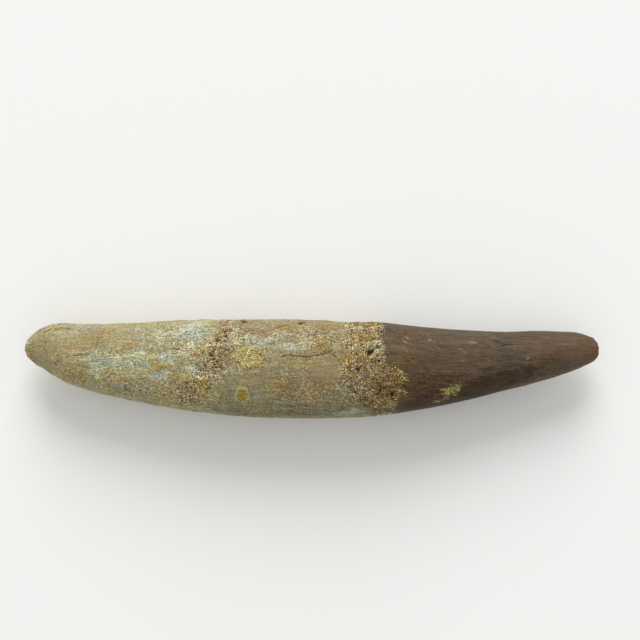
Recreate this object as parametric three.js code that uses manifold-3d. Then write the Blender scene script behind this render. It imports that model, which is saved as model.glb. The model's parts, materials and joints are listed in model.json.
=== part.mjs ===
// A fossil conical tooth with its whole root, lying on its side.
// One solid: the enamel crown, the dentine root and the sandstone cemented on it are a single piece.
// Millimetres, +Z up. X runs from the root end (-X) to the crown's worn tip (+X). The tooth bends in the
// XY plane, with its hollow side towards +Y. The origin is under the middle of its box, on the surface it
// lies on.
import * as THREE from "three";
import { mergeVertices } from "three/addons/utils/BufferGeometryUtils.js";
import Module from "manifold-3d";

// Driving dimensions.
const toothLength = 109; // root end to the worn tip
const axisHeight = 7.65; // the tooth's axis above the surface it lies on
const rootRounding = 3.4; // length over which the root end closes
const tipRounding = 2.6; // length over which the crown's tip closes
const tipLost = 0.8; // length that the break took off the tip
const sectionPower = 2.2; // 2 is an ellipse, more is squarer
const undersideShift = 0.9; // how far the lowest line lies towards the hollow side
const widestHalf = 9.4; // half the width where the root is widest
const stationCount = 78; // rings along the tooth
const ringPoints = 40; // points round each ring

// Along X: the hollow edge, the belly edge, the thickness as a share of the width, and the axis's droop.
// At both ends the two edges are given as they would run on, before the rounding closes them.
const stations = [
  { x: -54.5, hollow: 6.3, belly: 0.8, flatness: 0.84, droop: 0.5 },
  { x: -53.0, hollow: 6.9, belly: 0.9, flatness: 0.84, droop: 0.5 },
  { x: -51.5, hollow: 7.6, belly: 0.5, flatness: 0.84, droop: 0.5 },
  { x: -50.0, hollow: 8.3, belly: -0.4, flatness: 0.83, droop: 0.45 },
  { x: -48.0, hollow: 8.65, belly: -1.8, flatness: 0.82, droop: 0.4 },
  { x: -45.5, hollow: 8.6, belly: -3.0, flatness: 0.82, droop: 0.4 },
  { x: -40.0, hollow: 8.25, belly: -4.65, flatness: 0.81, droop: 0.3 },
  { x: -36.3, hollow: 8.5, belly: -5.4, flatness: 0.81, droop: 0.25 },
  { x: -32.5, hollow: 8.65, belly: -6.15, flatness: 0.82, droop: 0.2 },
  { x: -25.0, hollow: 9.1, belly: -7.65, flatness: 0.83, droop: 0.1 },
  { x: -19.0, hollow: 9.2, belly: -8.4, flatness: 0.85, droop: 0 },
  { x: -12.5, hollow: 9.35, belly: -9.05, flatness: 0.85, droop: 0 },
  { x: -6.0, hollow: 9.4, belly: -9.3, flatness: 0.84, droop: 0 },
  { x: 1.5, hollow: 9.2, belly: -9.4, flatness: 0.85, droop: 0 },
  { x: 8.3, hollow: 8.65, belly: -9.25, flatness: 0.87, droop: 0 },
  { x: 11.0, hollow: 8.8, belly: -9.1, flatness: 0.87, droop: 0 },
  { x: 17.0, hollow: 8.2, belly: -8.3, flatness: 0.875, droop: 0.1 },
  { x: 24.0, hollow: 7.5, belly: -7.1, flatness: 0.87, droop: 0.25 },
  { x: 31.8, hollow: 7.1, belly: -5.45, flatness: 0.88, droop: 0.4 },
  { x: 37.5, hollow: 6.9, belly: -3.85, flatness: 0.88, droop: 0.5 },
  { x: 42.2, hollow: 7.1, belly: -2.5, flatness: 0.89, droop: 0.6 },
  { x: 47.0, hollow: 6.95, belly: -1.1, flatness: 0.9, droop: 0.7 },
  { x: 50.0, hollow: 6.8, belly: -0.05, flatness: 0.9, droop: 0.75 },
  { x: 52.5, hollow: 6.15, belly: 1.05, flatness: 0.9, droop: 0.8 },
  { x: 55.3, hollow: 5.0, belly: 1.9, flatness: 0.9, droop: 0.8 },
];
const columns = ["hollow", "belly", "flatness", "droop"];
const shapeAlong = new THREE.CubicInterpolant(
  stations.map((station) => station.x),
  stations.flatMap((station) => columns.map((column) => station[column])),
  columns.length,
);

// Break faces at the tip: a point on each and the way it faces.
const tipBreaks = [
  { at: [54.3, 4.0, 6.9], facing: [1, 0.12, 0.1] },
  { at: [54.1, 2.5, 6.9], facing: [0.9, -0.42, -0.1] },
];
const cutterSize = 40;
const bedSize = 200; // side of the block that cuts the resting face

const rootEnd = -toothLength / 2;
const loftedTip = toothLength / 2 + tipLost;

// How far a round end has opened at this distance from it: 0 at the end, 1 past the rounding.
function opening(distance, rounding) {
  const left = Math.max(0, 1 - distance / rounding);
  return Math.sqrt(1 - left * left);
}

// X of each ring, closer together towards both ends.
function ringPositions() {
  const middle = (rootEnd + loftedTip) / 2;
  const half = (loftedTip - rootEnd) / 2;
  const bunching = 0.35; // 0 spaces the rings evenly, 1 like the points of a half circle
  return Array.from({ length: stationCount }, (_, i) => {
    const t = ((i + 0.5) / stationCount) * 2 - 1;
    const round = Math.sin((t * Math.PI) / 2);
    return middle + half * THREE.MathUtils.lerp(t, round, bunching);
  });
}

// One ring's points in the plane of x, anticlockwise when seen from +X.
function ring(x) {
  const [hollow, belly, flatness, droop] = shapeAlong.evaluate(x);
  const closing = opening(x - rootEnd, rootRounding) * opening(loftedTip - x, tipRounding);
  const halfWidth = ((hollow - belly) / 2) * closing;
  const halfThickness = halfWidth * flatness;
  const middleY = (hollow + belly) / 2;
  return Array.from({ length: ringPoints }, (_, i) => {
    const angle = (i / ringPoints) * Math.PI * 2;
    const cos = Math.cos(angle);
    const sin = Math.sin(angle);
    const reach = (Math.abs(cos) ** sectionPower + Math.abs(sin) ** sectionPower) ** (-1 / sectionPower);
    const lean = sin < 0 ? undersideShift * (1 - Math.abs(cos)) * (halfWidth / widestHalf) : 0;
    return new THREE.Vector3(
      x,
      middleY + lean + cos * reach * halfWidth,
      axisHeight - droop + sin * reach * halfThickness,
    );
  });
}

// A closed skin over the rings, with a fan to a pole at each end.
function loft() {
  const xs = ringPositions();
  const rings = xs.map(ring);
  const pole = (x, beside) => {
    const centre = new THREE.Vector3();
    beside.forEach((point) => centre.addScaledVector(point, 1 / ringPoints));
    return centre.setX(x);
  };
  const points = [pole(rootEnd, rings[0]), ...rings.flat(), pole(loftedTip, rings.at(-1))];
  const at = (r, i) => 1 + r * ringPoints + (i % ringPoints);
  const triangles = [];
  for (let i = 0; i < ringPoints; i++) {
    triangles.push(0, at(0, i + 1), at(0, i));
    for (let r = 0; r + 1 < rings.length; r++) {
      const [a, b, c, d] = [at(r, i), at(r, i + 1), at(r + 1, i + 1), at(r + 1, i)];
      triangles.push(a, b, c, a, c, d);
    }
    triangles.push(points.length - 1, at(rings.length - 1, i), at(rings.length - 1, i + 1));
  }
  return new THREE.BufferGeometry().setFromPoints(points).setIndex(triangles);
}

const wasm = await Module();
wasm.setup();

function solidFrom(geometry) {
  const bare = geometry.clone();
  bare.deleteAttribute("normal");
  bare.deleteAttribute("uv");
  const merged = mergeVertices(bare, 1e-3);
  return new wasm.Manifold(
    new wasm.Mesh({
      numProp: 3,
      vertProperties: merged.attributes.position.array,
      triVerts: new Uint32Array(merged.index.array),
    }),
  );
}

function geometryFrom(solid) {
  const mesh = solid.getMesh();
  const geometry = new THREE.BufferGeometry();
  geometry.setAttribute("position", new THREE.BufferAttribute(mesh.vertProperties, 3));
  geometry.setIndex(new THREE.BufferAttribute(mesh.triVerts, 1));
  geometry.computeVertexNormals();
  return geometry;
}

// Moves a shape so that its box is centred over the origin.
function centred(geometry) {
  geometry.computeBoundingBox();
  const middle = geometry.boundingBox.getCenter(new THREE.Vector3());
  return geometry.translate(-middle.x, -middle.y, 0);
}

// A block that removes all that lies past a plane.
function cutterPast({ at, facing }, size) {
  const along = new THREE.Vector3(...facing).normalize();
  const turn = new THREE.Quaternion().setFromUnitVectors(new THREE.Vector3(0, 0, 1), along);
  const centre = new THREE.Vector3(...at).addScaledVector(along, size / 2);
  const block = new THREE.BoxGeometry(size, size, size).applyQuaternion(turn);
  return solidFrom(block.translate(centre.x, centre.y, centre.z));
}

function toothSolid() {
  const bed = cutterPast({ at: [0, 0, 0], facing: [0, 0, -1] }, bedSize);
  const resting = solidFrom(loft()).subtract(bed);
  return tipBreaks.reduce((solid, face) => solid.subtract(cutterPast(face, cutterSize)), resting);
}

const fossil = new THREE.MeshStandardMaterial({ color: 0x9a8c6c, roughness: 0.78, metalness: 0 });
const tooth = new THREE.Mesh(centred(geometryFrom(toothSolid())), fossil);
tooth.name = "tooth";

const fossilTooth = new THREE.Group();
fossilTooth.name = "fossil_tooth";
fossilTooth.add(tooth);

export default fossilTooth;
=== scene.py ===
import json
import math

import bpy
import numpy as np
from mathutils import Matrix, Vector, noise

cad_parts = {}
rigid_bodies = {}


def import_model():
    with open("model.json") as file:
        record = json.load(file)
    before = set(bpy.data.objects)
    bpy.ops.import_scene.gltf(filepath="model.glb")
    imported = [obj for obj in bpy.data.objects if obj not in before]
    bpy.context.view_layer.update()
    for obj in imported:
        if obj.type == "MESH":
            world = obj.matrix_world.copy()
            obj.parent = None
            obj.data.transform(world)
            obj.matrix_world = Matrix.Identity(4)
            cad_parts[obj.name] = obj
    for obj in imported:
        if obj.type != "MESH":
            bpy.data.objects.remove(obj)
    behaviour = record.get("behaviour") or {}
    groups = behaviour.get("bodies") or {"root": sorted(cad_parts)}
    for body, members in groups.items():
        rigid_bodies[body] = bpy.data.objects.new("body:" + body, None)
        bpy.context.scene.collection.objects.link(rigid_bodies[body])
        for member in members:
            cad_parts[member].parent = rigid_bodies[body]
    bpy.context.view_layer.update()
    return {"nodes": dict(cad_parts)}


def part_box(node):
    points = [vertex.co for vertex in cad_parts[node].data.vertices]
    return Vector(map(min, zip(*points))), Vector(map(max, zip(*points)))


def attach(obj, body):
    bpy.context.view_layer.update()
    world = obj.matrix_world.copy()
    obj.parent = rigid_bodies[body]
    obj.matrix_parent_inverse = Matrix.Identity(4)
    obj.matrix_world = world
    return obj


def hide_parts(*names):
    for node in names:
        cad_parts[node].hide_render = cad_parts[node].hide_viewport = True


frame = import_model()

mm = 0.001


def deselectAll():
    if bpy.context.object and bpy.context.object.mode != "OBJECT":
        bpy.ops.object.mode_set(mode="OBJECT")
    bpy.ops.object.select_all(action="DESELECT")


# Colours are written as sRGB hex, as a colour picker gives them.
def tint(code):
    parts = [int(code[i:i + 2], 16) / 255 for i in (0, 2, 4)]
    straight = [p / 12.92 if p <= 0.04045 else ((p + 0.055) / 1.055) ** 2.4 for p in parts]
    return (*straight, 1.0)


# 0 below low, 1 above high, an S curve between.
def ease(value, low, high):
    share = np.clip((value - low) / (high - low), 0, 1)
    return share * share * (3 - 2 * share)


# Camera, light and floor.

studio = {
    "cameraAt": (1.5 * mm, 9.2 * mm, 450 * mm),
    "sensor": 36.0,
    "lens": 131.4,
    "seenFrom": 0.01,  # metres from the camera
    "seenTo": 20.0,
    "floorSize": 6.0,
    "floorColour": "f6f6f4",
    "floorRoughness": 0.9,
    "keyFrom": (0.0, 32.0),  # degrees from +Y, and above the floor
    "keyDistance": 3.0,
    "keySize": 2.0,
    "keyPower": 66.0,
    "fillColour": "f8f9f8",
    "fillStrength": 0.665,
}


def lookAt(thing, target):
    direction = Vector(target) - thing.location
    thing.rotation_euler = direction.to_track_quat("-Z", "Y").to_euler()


def setCamera():
    data = bpy.data.cameras.new("camera")
    data.sensor_width = studio["sensor"]
    data.lens = studio["lens"]
    data.clip_start = studio["seenFrom"]
    data.clip_end = studio["seenTo"]
    camera = bpy.data.objects.new("camera", data)
    bpy.context.scene.collection.objects.link(camera)
    camera.location = studio["cameraAt"]
    bpy.context.scene.camera = camera


def setLight():
    azimuth, height = (math.radians(a) for a in studio["keyFrom"])
    data = bpy.data.lights.new("keyLight", "AREA")
    data.shape = "DISK"
    data.size = studio["keySize"]
    data.energy = studio["keyPower"]
    key = bpy.data.objects.new("keyLight", data)
    bpy.context.scene.collection.objects.link(key)
    reach = studio["keyDistance"]
    key.location = (
        reach * math.sin(azimuth) * math.cos(height),
        reach * math.cos(azimuth) * math.cos(height),
        reach * math.sin(height),
    )
    lookAt(key, (0, 0, 0))
    world = bpy.data.worlds.new("studio")
    world.use_nodes = True
    background = world.node_tree.nodes["Background"]
    background.inputs["Color"].default_value = tint(studio["fillColour"])
    background.inputs["Strength"].default_value = studio["fillStrength"]
    bpy.context.scene.world = world
    bpy.context.scene.view_settings.view_transform = "Standard"


def setFloor():
    deselectAll()
    bpy.ops.mesh.primitive_plane_add(size=studio["floorSize"])
    floor = bpy.context.object
    floor.name = "floor"
    paper = bpy.data.materials.new("palePaper")
    paper.use_nodes = True
    shader = paper.node_tree.nodes["Principled BSDF"]
    shader.inputs["Base Color"].default_value = tint(studio["floorColour"])
    shader.inputs["Roughness"].default_value = studio["floorRoughness"]
    floor.data.materials.append(paper)


# The tooth's form.

toothForm = {
    "ringPoints": 24,
    "bodyRings": 48,
    "capRings": 6,
    "rootRounding": 3.4 * mm,
    "tipRounding": 2.6 * mm,
    "unbrokenTip": 55.3 * mm,  # where the crown ended before it broke
    "fittedTo": 52.0 * mm,  # past this the tip keeps its own rounding
    "skinOffset": 0.12 * mm,  # what the smoothing takes off again
    "smoothing": 3,
    "mapMargin": 0.01,
    "middleHeight": 7.65 * mm,
}


# Where the plane at this x cuts the node's triangles: the section's middle and half sizes.
def sectionAt(corners, x):
    side = corners[:, :, 0] - x
    found = []
    for a, b in ((0, 1), (1, 2), (2, 0)):
        cut = side[:, a] * side[:, b] < 0
        share = side[cut, a] / (side[cut, a] - side[cut, b])
        found.append(corners[cut, a] + share[:, None] * (corners[cut, b] - corners[cut, a]))
    points = np.vstack(found)
    low, high = points.min(0), points.max(0)
    return (low + high)[1:] / 2, (high - low)[1:] / 2


# Each ring's x, middle and half sizes, from the root end to the tip.
def ringsAlong(node):
    mesh = node.data
    mesh.calc_loop_triangles()
    corners = np.array([[mesh.vertices[v].co for v in t.vertices] for t in mesh.loop_triangles])
    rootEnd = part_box("tooth")[0].x
    form = toothForm
    count = form["capRings"]
    bodyStart = rootEnd + form["rootRounding"]
    bodyEnd = form["unbrokenTip"] - form["tipRounding"]
    turns = [(i + 0.5) / (count + 0.5) * math.pi / 2 for i in range(count)]
    rings = []
    for turn in turns:
        x = rootEnd + form["rootRounding"] * (1 - math.cos(turn))
        rings.append((x, *sectionAt(corners, x)))
    for x in np.linspace(bodyStart, bodyEnd, form["bodyRings"]):
        rings.append((x, *sectionAt(corners, x)))
    lastX, lastMiddle, lastHalf = rings[-1]
    beforeX, beforeMiddle, beforeHalf = rings[-2]
    step = lastX - beforeX
    for turn in reversed(turns):
        x = form["unbrokenTip"] - form["tipRounding"] * (1 - math.cos(turn))
        past = (x - lastX) / step
        middle = lastMiddle + (lastMiddle - beforeMiddle) * past
        half = (lastHalf + (lastHalf - beforeHalf) * past) * math.sin(turn)
        rings.append((x, middle, half))
    return rings


def closePole(step):
    bpy.ops.mesh.extrude_region_move(TRANSFORM_OT_translate={"value": (step, 0, 0)})
    bpy.ops.mesh.merge(type="CENTER")


# Extruding leaves the faces in another order each time, so they are sorted by their corners.
def putInOrder(thing):
    mesh = thing.data
    points = [tuple(vertex.co) for vertex in mesh.vertices]
    faces = []
    for face in mesh.polygons:
        corners = list(face.vertices)
        first = corners.index(min(corners))
        faces.append(corners[first:] + corners[:first])
    mesh.clear_geometry()
    mesh.from_pydata(points, [], sorted(faces))


# The rings extruded one after another from a circle, and both ends drawn to a pole.
def extrudeTooth(rings):
    x, middle, half = rings[0]
    deselectAll()
    bpy.ops.mesh.primitive_circle_add(
        vertices=toothForm["ringPoints"], radius=1.0, location=(x, *middle), rotation=(0, math.pi / 2, 0)
    )
    tooth = bpy.context.object
    tooth.name = "fossilTooth"
    bpy.ops.object.transform_apply(location=True, rotation=True, scale=True)
    bpy.ops.object.mode_set(mode="EDIT")
    bpy.ops.mesh.select_all(action="SELECT")
    bpy.ops.transform.resize(value=(1, *half), center_override=(x, *middle))
    for (oldX, oldMiddle, oldHalf), (x, middle, half) in zip(rings, rings[1:]):
        move = (x - oldX, *(middle - oldMiddle))
        bpy.ops.mesh.extrude_region_move(TRANSFORM_OT_translate={"value": move})
        bpy.ops.transform.resize(value=(1, *(half / oldHalf)), center_override=(x, *middle))
    closePole(toothForm["unbrokenTip"] - rings[-1][0])
    bpy.ops.mesh.select_all(action="DESELECT")
    bpy.ops.object.mode_set(mode="OBJECT")
    for vertex in tooth.data.vertices:
        vertex.select = vertex.co.x < rings[0][0] + 0.001 * mm
    bpy.ops.object.mode_set(mode="EDIT")
    bpy.ops.mesh.select_mode(type="VERT")
    closePole(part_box("tooth")[0].x - rings[0][0])
    bpy.ops.mesh.select_all(action="SELECT")
    bpy.ops.mesh.normals_make_consistent(inside=False)
    bpy.ops.object.mode_set(mode="OBJECT")
    putInOrder(tooth)
    return tooth


# The bake's map: along the tooth to the right, round it upwards, with the seam underneath.
def unrollTooth(tooth, rings):
    mesh = tooth.data
    xs = np.array([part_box("tooth")[0].x] + [ring[0] for ring in rings] + [toothForm["unbrokenTip"]])
    middles = [rings[0][1]] + [ring[1] for ring in rings] + [rings[-1][1]]
    layer = mesh.uv_layers.new(name="OFBake")
    lastRing = len(xs) - 1
    whole = toothForm["ringPoints"]
    margin = toothForm["mapMargin"]
    inside = 1 - 2 * margin
    for face in mesh.polygons:
        places = []
        for corner in face.loop_indices:
            at = mesh.vertices[mesh.loops[corner].vertex_index].co
            ring = int(np.argmin(np.abs(xs - at.x)))
            across = Vector((at.y, at.z)) - Vector(middles[ring])
            turn = math.atan2(across.x, -across.y) / (2 * math.pi) % 1.0
            places.append([ring, round(turn * whole) % whole])
        onSkin = [turn for ring, turn in places if 0 < ring < lastRing]
        overSeam = max(onSkin) - min(onSkin) > 2
        onSkin = [turn or whole for turn in onSkin] if overSeam else onSkin
        for corner, (ring, turn) in zip(face.loop_indices, places):
            if ring in (0, lastRing):
                turn = sum(onSkin) / len(onSkin)
            elif overSeam:
                turn = turn or whole
            layer.data[corner].uv = (margin + inside * ring / lastRing, margin + inside * turn / whole)


def addModifier(thing, kind, **settings):
    modifier = thing.modifiers.new(kind.lower(), kind)
    for name, value in settings.items():
        setattr(modifier, name, value)
    bpy.ops.object.modifier_apply(modifier=modifier.name)


def makeToothForm():
    node = frame["nodes"]["tooth"]
    rings = ringsAlong(node)
    tooth = extrudeTooth(rings)
    unrollTooth(tooth, rings)
    fitted = tooth.vertex_groups.new(name="fitted")
    inside = [v.index for v in tooth.data.vertices if v.co.x < toothForm["fittedTo"]]
    fitted.add(inside, 1.0, "REPLACE")
    addModifier(
        tooth, "SHRINKWRAP", target=node, wrap_method="NEAREST_SURFACEPOINT", wrap_mode="OUTSIDE_SURFACE",
        offset=toothForm["skinOffset"], vertex_group="fitted",
    )
    tooth.vertex_groups.clear()
    levels = toothForm["smoothing"]
    addModifier(tooth, "SUBSURF", levels=levels, render_levels=levels)
    bpy.ops.object.shade_smooth()
    return tooth


# What lies on the tooth, and the shade painted along its lower side, in millimetres on the upper side: x,
# y, half length, half width, turn in degrees and strength. Fine noise in the finish breaks every edge up.

stainsAndShade = {
    "bleach": [
        (-45.8, 1.7, 0.9, 0.9, 0, 0.6), (-42.0, 2.0, 1.5, 0.7, -10, 0.7), (-37.7, 1.1, 4.2, 1.5, -8, 0.75),
        (-40.7, -1.1, 1.6, 0.5, -22, 1.0), (-28.8, -1.2, 2.3, 0.7, 3, 0.8), (-27.5, 1.1, 0.8, 0.4, 0, 0.5),
        (-27.8, 7.3, 1.3, 0.6, 0, 0.8), (-22.7, 7.5, 3.1, 0.9, 14, 1.0), (-20.2, 8.7, 1.6, 0.5, 5, 0.8),
        (-22.0, 5.8, 1.9, 0.9, 20, 0.6), (-22.3, 0.1, 1.7, 1.7, 30, 0.9), (-14.2, 7.3, 1.1, 0.5, 20, 0.6),
        (-12.7, 5.9, 1.6, 0.7, 5, 0.6), (-10.4, -5.0, 1.1, 0.5, 0, 0.7), (-15.3, -0.1, 1.7, 0.8, -15, 0.5),
        (8.4, -2.9, 0.9, 0.7, 40, 0.8), (8.7, 7.7, 1.3, 0.4, 10, 0.6), (8.9, 3.5, 1.5, 0.4, 60, 0.7),
        (12.3, 4.7, 0.6, 0.4, 30, 1.0), (12.6, 2.8, 0.8, 0.7, 60, 0.6), (11.3, 4.6, 2.0, 1.8, 0, 0.6),
        (14.2, -6.6, 1.3, 0.5, 10, 0.7), (-28.0, 2.4, 2.0, 0.6, 0, 0.5), (-1.8, 0.6, 1.6, 1.4, 0, 0.3),
        (6.9, -8.4, 2.4, 0.5, 0, 3.0), (-36.5, 1.6, 6.5, 2.4, -5, 0.65), (-25.5, 4.5, 6.0, 3.2, 5, 0.2),
        (-25.0, 0.8, 4.5, 2.6, 15, 0.35), (-11.5, 5.4, 3.5, 0.9, 5, 0.35), (-6.5, 3.6, 3.0, 1.0, 0, 0.25),
        (-4.0, 5.0, 6.5, 1.8, 0, 0.3), (-13.2, -3.9, 5.6, 3.2, 0, 0.3),
    ],
    "cream": [
        (-36.4, 4.8, 2.3, 0.8, 0, 0.5), (-7.0, 6.4, 3.0, 1.0, 12, 0.9), (-0.8, 5.2, 1.3, 1.9, 20, 0.7),
        (-16.5, 5.0, 2.3, 0.6, 0, 0.5), (-44.9, 3.1, 2.7, 0.4, 0, 0.6), (-45.3, 5.2, 0.4, 0.3, 0, 1.0),
        (-47.0, 6.7, 2.7, 0.9, -5, 0.4), (6.1, -0.3, 0.9, 2.3, -10, 0.8), (-32.6, 3.1, 2.3, 0.8, 0, 0.4),
        (-19.8, 4.5, 2.3, 0.8, 30, 0.25), (-0.2, 6.9, 1.3, 0.6, 0, 0.5), (-5.0, 4.2, 4.0, 0.9, 0, 0.6),
        (-24.5, 3.6, 3.0, 1.0, 10, 0.3), (-30.0, 5.6, 3.5, 1.0, 0, 0.4), (6.9, -8.4, 2.4, 0.5, 0, 3.0),
        (7.6, 3.2, 1.5, 3.2, 0, 0.6), (-28.5, 2.6, 2.0, 1.1, 0, 1.0), (-15.5, 6.2, 2.2, 1.8, 0, 0.6),
        (8.0, 7.2, 1.2, 1.2, 0, 0.7),
    ],
    "rust": [
        (-45.5, 4.0, 2.1, 0.8, 0, 0.8), (-42.2, 5.9, 1.9, 0.7, 0, 0.5), (-50.0, -0.4, 1.6, 0.6, -35, 0.7),
        (-42.0, 0.4, 0.7, 0.5, 0, 0.6), (-37.3, -0.5, 2.7, 0.5, -12, 1.0),
        (-36.2, -2.3, 1.5, 0.6, -10, 0.7), (-37.7, 3.5, 1.7, 0.3, 0, 0.8), (-34.7, 3.7, 1.5, 0.2, 0, 0.5),
        (-38.4, 7.2, 0.7, 0.2, 0, 0.6), (-28.8, 0.3, 1.9, 0.6, 0, 0.9), (-26.0, -1.8, 1.7, 0.7, 8, 1.0),
        (-25.4, 0.7, 2.6, 0.7, 55, 0.6), (-28.0, 5.2, 0.9, 0.2, 0, 0.6), (-28.6, 3.7, 0.8, 0.2, 0, 0.7),
        (-16.9, 6.7, 0.9, 0.8, 0, 0.6), (-14.6, 0.5, 1.5, 0.4, -10, 0.8), (-9.9, 0.6, 1.3, 0.7, 25, 1.0),
        (-8.3, 6.9, 1.9, 0.6, 8, 0.6), (-4.5, 8.0, 2.1, 0.5, 3, 0.8), (1.9, 4.3, 1.7, 1.5, -5, 0.6),
        (2.3, 3.0, 1.5, 0.3, 0, 0.9), (-1.3, 1.4, 0.3, 0.9, 0, 0.4), (-3.9, -5.4, 1.8, 0.2, 0, 0.6),
        (6.6, 1.1, 0.9, 1.5, -20, 0.4), (3.5, 8.0, 3.4, 0.45, -2, 0.8), (-13.6, 8.7, 1.1, 0.4, 0, 0.6),
        (-4.2, -3.1, 3.4, 2.3, 0, 0.35), (-25.7, -6.9, 1.6, 0.4, -10, 0.5), (-17.2, 1.6, 1.5, 2.3, 0, 0.35),
        (30.7, 6.6, 0.9, 0.3, 0, 0.5), (15.7, -1.2, 1.5, 1.7, 0, 0.4), (-40.0, 5.0, 8.0, 2.8, 0, 0.3),
        (-24.0, -4.0, 7.0, 3.0, -8, 0.35), (-2.0, 6.5, 7.0, 2.2, 0, 0.3), (-31.0, 3.0, 6.0, 2.0, 0, 0.3),
        # The patch at 21.5, -3.2 warms and darkens the crown's lower part: partly a stain, partly painted
        # shade.
        (-46.0, -0.5, 5.0, 2.0, -25, 0.4), (21.5, -3.2, 5.5, 2.4, 6, 0.9), (14.3, -3.4, 2.8, 2.8, 0, 0.3),
        (9.0, 6.5, 3.0, 1.2, 0, 0.3), (2.5, -0.5, 3.5, 2.5, 0, 0.35), (-53.2, 2.8, 1.6, 2.2, 0, 0.6),
        (-21.0, 2.3, 2.6, 1.3, 10, 0.6), (-37.5, 2.8, 2.4, 0.6, 0, 0.5), (-22.6, 2.4, 1.7, 1.4, 0, 0.5),
    ],
    "ochre": [
        (-12.1, 2.4, 3.5, 2.4, 0, 1.3), (-13.3, 0.9, 2.0, 0.5, -15, 0.6), (-0.2, -5.6, 1.5, 0.8, 0, 0.8),
        (4.7, -6.0, 2.5, 0.7, 0, 0.5), (-19.7, -1.6, 2.5, 1.1, 10, 0.4), (-50.2, 5.7, 0.5, 0.2, 0, 0.6),
        (16.5, -2.4, 1.5, 1.3, 0, 0.1), (-28.0, 0.3, 1.5, 0.5, 0, 0.5), (16.8, 1.5, 2.6, 5.5, 0, 0.3),
        (17.6, 2.6, 3.4, 1.5, 0, 0.8),
    ],
    "film": [
        (27.2, -3.8, 2.3, 1.1, 20, 0.9), (24.6, -5.5, 2.3, 0.9, 26, 0.45), (16.6, -3.2, 1.6, 3.2, 0, 0.55),
    ],
    "umber": [
        (-50.6, 4.8, 0.6, 0.9, 0, 0.35), (-35.6, -3.5, 0.5, 0.3, 0, 0.45), (-11.9, 5.2, 1.7, 0.2, 2, 0.6),
        (-25.9, 3.9, 1.7, 0.15, 0, 0.8), (-2.3, 8.7, 0.8, 0.2, 0, 1.0), (-13.0, 9.0, 0.5, 0.2, 0, 1.0),
        # The long patches at 33.0, -3.6 and 21.5, -6.4 darken the crown's lower side: partly darker stained
        # enamel, partly painted shade.
        (-3.8, -8.0, 0.9, 0.2, 3, 0.8), (5.8, -7.4, 0.6, 0.2, 0, 0.6), (33.0, -3.6, 12.0, 2.2, 15, 0.9),
        (14.0, -3.8, 2.4, 2.6, 0, 0.5), (21.5, -6.4, 5.5, 1.6, 14, 0.9), (24.0, -2.6, 6.0, 1.2, 8, 0.4),
        (-16.9, -0.2, 1.2, 0.9, 0, 0.3), (12.0, -2.6, 2.6, 1.4, 0, 0.3), (13.8, 0.0, 2.0, 1.0, 0, 0.45),
        (16.6, -2.2, 1.4, 1.2, 0, 0.3), (26.0, -5.5, 3.0, 0.7, 18, 0.8),
    ],
    "violet": [
        (-16.4, 2.8, 1.3, 1.7, 0, 0.8), (-17.6, 5.9, 0.6, 0.3, 20, 0.9), (41.3, 5.1, 3.0, 1.9, 0, 0.6),
        (50.0, 3.5, 5.5, 3.2, -10, 1.0), (-40.0, 6.0, 3.5, 1.4, 0, 0.3), (-9.8, 7.0, 2.2, 0.6, 5, 0.8),
        (53.8, 3.2, 0.8, 1.6, 10, 0.9), (2.5, -0.5, 3.4, 2.7, 0, 0.5), (-1.0, -4.3, 7.5, 3.2, 0, 0.5),
        (-7.6, -2.4, 1.8, 1.2, 0, 0.4), (-4.0, 8.0, 3.0, 0.4, 0, 0.4),
    ],
    "olive": [
        (-51.3, 3.2, 3.2, 3.4, -20, 0.9), (-13.2, -3.9, 5.6, 3.2, 0, 1.0), (-40.0, 6.0, 9.0, 2.5, 0, 0.5),
        (-36.0, -4.2, 9.0, 1.6, -14, 0.5), (9.7, -7.5, 2.8, 1.4, 0, 0.6), (-44.2, 0.0, 2.6, 1.8, 0, 0.4),
        # The long strip at -3.0, -8.0 darkens the lower edge: partly the edge's own olive-grey tone, partly
        # painted shade.
        (25.0, 7.3, 10.5, 0.9, -4, 0.8), (37.0, 2.8, 4.4, 2.2, 0, 1.2), (-3.0, -8.0, 14.0, 1.4, 0, 1.1),
        (44.0, -0.35, 8.0, 0.35, 14, 1.2), (29.0, -5.6, 7.0, 0.4, 10, 0.8),
        (-31.5, -5.2, 3.0, 1.2, -14, 0.8), (5.5, -5.2, 4.0, 1.8, 0, 0.8), (-16.5, -7.4, 7.0, 1.0, -6, 0.9),
    ],
    # Painted shade along the lower edge of the root and the crown, with some of the edge's own grey-green
    # tone.
    "greyEdgeAndShade": [
        (-15.0, -8.3, 5.0, 0.6, -4, 1.0), (-5.0, -8.6, 7.0, 0.6, 0, 1.0), (5.0, -8.6, 6.0, 0.6, 2, 1.1),
        (12.0, -8.1, 4.0, 0.7, 8, 1.2), (8.5, -7.0, 6.0, 1.0, 4, 0.5), (32.0, -5.2, 9.0, 0.4, 13, 0.8),
    ],
    "grit": [
        (-36.9, 1.4, 5.6, 2.1, -8, 0.3), (-12.0, 2.3, 3.6, 2.5, 0, 1.2), (-23.1, -5.0, 6.0, 2.4, -10, 0.7),
        (-0.8, -4.2, 7.0, 2.8, 0, 0.2), (-14.6, 0.0, 1.5, 1.0, 0, 0.8), (-14.0, 6.8, 3.5, 1.5, 0, 1.0),
        (1.0, 7.0, 2.5, 1.2, 0, 0.8), (-17.0, -1.0, 1.6, 1.6, 0, 1.0), (27.2, -3.9, 1.8, 1.1, 15, 0.5),
        (-33.0, -4.0, 5.0, 1.6, -16, 0.6), (-28.0, 6.0, 5.5, 1.6, 0, 0.4), (-22.5, 4.0, 3.6, 3.6, 0, 0.7),
        (-2.0, 5.0, 7.5, 2.2, 0, 0.3), (20.0, 5.8, 5.5, 1.4, -5, 0.6), (20.5, -3.2, 4.5, 2.8, 6, 1.2),
    ],
    "worn": [
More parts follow.
